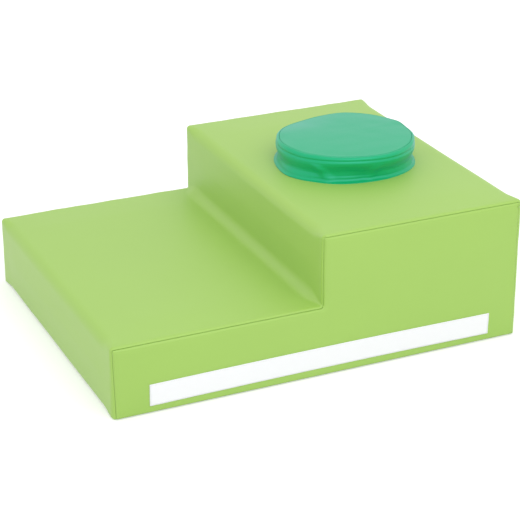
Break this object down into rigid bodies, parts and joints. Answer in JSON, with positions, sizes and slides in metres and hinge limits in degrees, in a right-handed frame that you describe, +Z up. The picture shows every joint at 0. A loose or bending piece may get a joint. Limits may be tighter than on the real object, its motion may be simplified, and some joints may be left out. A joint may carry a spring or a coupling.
{
  "type": "soft play foam climber",
  "caption": "Two-level soft play climber: a low foam tread and a higher platform under one sewn wipe-clean cover, with a round seat cushion on top and a zip low on the back.",
  "frame": {"origin": "on the floor under the middle of the whole object, from the low end to the far end and from the front strip to the zip slider on the back", "axes": "+X along the climb from the low end to the high end, +Y from the front with the strip to the back with the zip, +Z up"},
  "size_m": [0.903, 0.7164, 0.3688],
  "materials": {
    "cover_vinyl": "satin",
    "cushion_vinyl": "satin",
    "base_fabric": "matte",
    "foam": "matte",
    "loop_tape": "matte",
    "zip_tape": "matte",
    "zip_teeth": "satin",
    "zip_metal": "satin"
  },
  "bodies": {
    "climber": {"foam_base_slab": "foam", "foam_upper_block": "foam", "cover_wrap_panel": "cover_vinyl", "cover_front_panel": "cover_vinyl", "cover_back_panel": "cover_vinyl", "cover_base_panel": "base_fabric", "front_loop_strip": "loop_tape", "zip_upper_tape": "zip_tape", "zip_lower_tape": "zip_tape", "zip_upper_teeth": "zip_teeth", "zip_lower_teeth": "zip_teeth", "zip_upper_top_stop": "zip_teeth", "zip_lower_top_stop": "zip_teeth", "zip_bottom_stop": "zip_teeth", "cushion_foam_disc": "foam", "cushion_top_panel": "cushion_vinyl", "cushion_side_band": "cushion_vinyl"},
    "zip_slider": {"zip_slider": "zip_metal"},
    "zip_pull": {"zip_pull": "zip_metal"}
  },
  "joints": [
    {"name": "zip_slide", "type": "slide", "parent": "climber", "child": "zip_slider", "axis": [-1, 0, 0], "range_m": [0, 0.628]},
    {"name": "zip_pull_hinge", "type": "hinge", "parent": "zip_slider", "child": "zip_pull", "pos_m": [0.314, 0.3557, 0.042], "axis": [0, 0, -1], "range_deg": [0, 175]}
  ]
}
